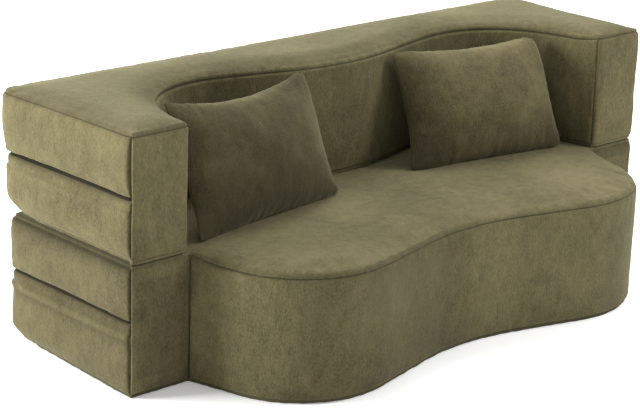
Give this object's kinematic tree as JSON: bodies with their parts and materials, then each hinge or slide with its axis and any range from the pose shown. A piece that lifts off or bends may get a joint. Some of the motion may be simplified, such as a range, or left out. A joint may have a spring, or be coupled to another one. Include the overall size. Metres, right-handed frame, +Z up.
{
  "type": "folding sofa bed",
  "caption": "Low frameless sofa whose U-shaped back and arms block flips forward over a wavy-fronted seat block to make a flat foam bed, with two loose throw pillows.",
  "frame": {"origin": "on the floor under the middle of the folded sofa's bounding box", "axes": "+X to the right of someone who faces the sofa, along its width; +Y from the seat's front to the back; +Z up"},
  "size_m": [1.905, 0.882, 0.7046],
  "materials": {
    "block_velvet": "short-pile olive velvet",
    "pillow_velvet": "short-pile olive velvet, brushed darker",
    "base_cloth": "velvet of the cover's underside, flattened pile",
    "support_foam": "open-cell polyurethane foam, firm",
    "comfort_foam": "open-cell polyurethane foam, soft",
    "pillow_fibre": "polyester fibre filling",
    "zip_tape": "woven polyester tape",
    "zip_coil": "nylon coil",
    "zip_metal": "enamelled die-cast zinc",
    "zip_plastic": "moulded acetal"
  },
  "bodies": {
    "seat_base": {"fold_leaf_seat_left": "block_velvet", "fold_leaf_seat_right": "block_velvet", "seat_bottom_panel": "base_cloth", "seat_comfort_foam": "comfort_foam", "seat_front_band": "block_velvet", "seat_shoulder_panel_left": "block_velvet", "seat_shoulder_panel_right": "block_velvet", "seat_side_band_lower": "block_velvet", "seat_side_band_upper": "block_velvet", "seat_support_foam": "support_foam", "seat_top_panel": "block_velvet", "seat_zip_tape": "zip_tape", "seat_zip_teeth": "zip_coil"},
    "back_block": {"arm_front_panel_left": "block_velvet", "arm_front_panel_right": "block_velvet", "back_cavity_band": "block_velvet", "back_comfort_foam": "comfort_foam", "back_side_band_lower": "block_velvet", "back_side_band_upper": "block_velvet", "back_sleep_panel": "block_velvet", "back_support_foam": "support_foam", "back_top_panel": "block_velvet", "back_zip_tape": "zip_tape", "back_zip_teeth": "zip_coil", "fold_leaf_back_left": "block_velvet", "fold_leaf_back_right": "block_velvet"},
    "seat_zip_slider": {"seat_zip_slider": "zip_metal"},
    "seat_zip_pull": {"seat_zip_pull": "zip_metal"},
    "back_zip_slider": {"back_zip_slider": "zip_metal"},
    "back_zip_pull": {"back_zip_pull": "zip_metal"},
    "left_pillow": {"left_pillow_front_cover": "pillow_velvet", "left_pillow_back_cover": "pillow_velvet", "left_pillow_filling": "pillow_fibre", "left_pillow_zip_tape": "zip_tape"},
    "left_pillow_zip_slider": {"left_pillow_zip_slider": "zip_plastic"},
    "right_pillow": {"right_pillow_front_cover": "pillow_velvet", "right_pillow_back_cover": "pillow_velvet", "right_pillow_filling": "pillow_fibre", "right_pillow_zip_tape": "zip_tape"},
    "right_pillow_zip_slider": {"right_pillow_zip_slider": "zip_plastic"}
  },
  "joints": [
    {"name": "back_fold", "type": "hinge", "parent": "seat_base", "child": "back_block", "pos_m": [0, -0.099, 0.3563], "axis": [1, 0, 0], "range_deg": [0, 180]},
    {"name": "seat_zip_slide", "type": "slide", "parent": "seat_base", "child": "seat_zip_slider", "axis": [0, 1, 0], "range_m": [0, 0.4]},
    {"name": "seat_zip_pull_turn", "type": "hinge", "parent": "seat_zip_slider", "child": "seat_zip_pull", "pos_m": [0.9465, -0.049, 0.2029], "axis": [0, 0, 1], "range_deg": [0, 175]},
    {"name": "back_zip_slide", "type": "slide", "parent": "back_block", "child": "back_zip_slider", "axis": [0, 1, 0], "range_m": [0, 0.4]},
    {"name": "back_zip_pull_turn", "type": "hinge", "parent": "back_zip_slider", "child": "back_zip_pull", "pos_m": [0.9465, -0.049, 0.5266], "axis": [0, 0, 1], "range_deg": [0, 175]},
    {"name": "left_pillow_take_off", "type": "slide", "parent": "seat_base", "child": "left_pillow", "axis": [0, -0.9962, 0.0872], "range_m": [0, 1.352]},
    {"name": "left_pillow_zip_slide", "type": "slide", "parent": "left_pillow", "child": "left_pillow_zip_slider", "axis": [0.9914, 0.1305, 0], "range_m": [0, 0.19]},
    {"name": "right_pillow_take_off", "type": "slide", "parent": "seat_base", "child": "right_pillow", "axis": [0, -0.9962, 0.0872], "range_m": [0, 1.446]},
    {"name": "right_pillow_zip_slide", "type": "slide", "parent": "right_pillow", "child": "right_pillow_zip_slider", "axis": [0.9877, -0.1564, 0], "range_m": [0, 0.19]}
  ],
  "couplings": [
    {"joint": "left_pillow_take_off", "follows": "back_fold", "m_per_rad": 0.43},
    {"joint": "right_pillow_take_off", "follows": "back_fold", "m_per_rad": 0.46}
  ]
}
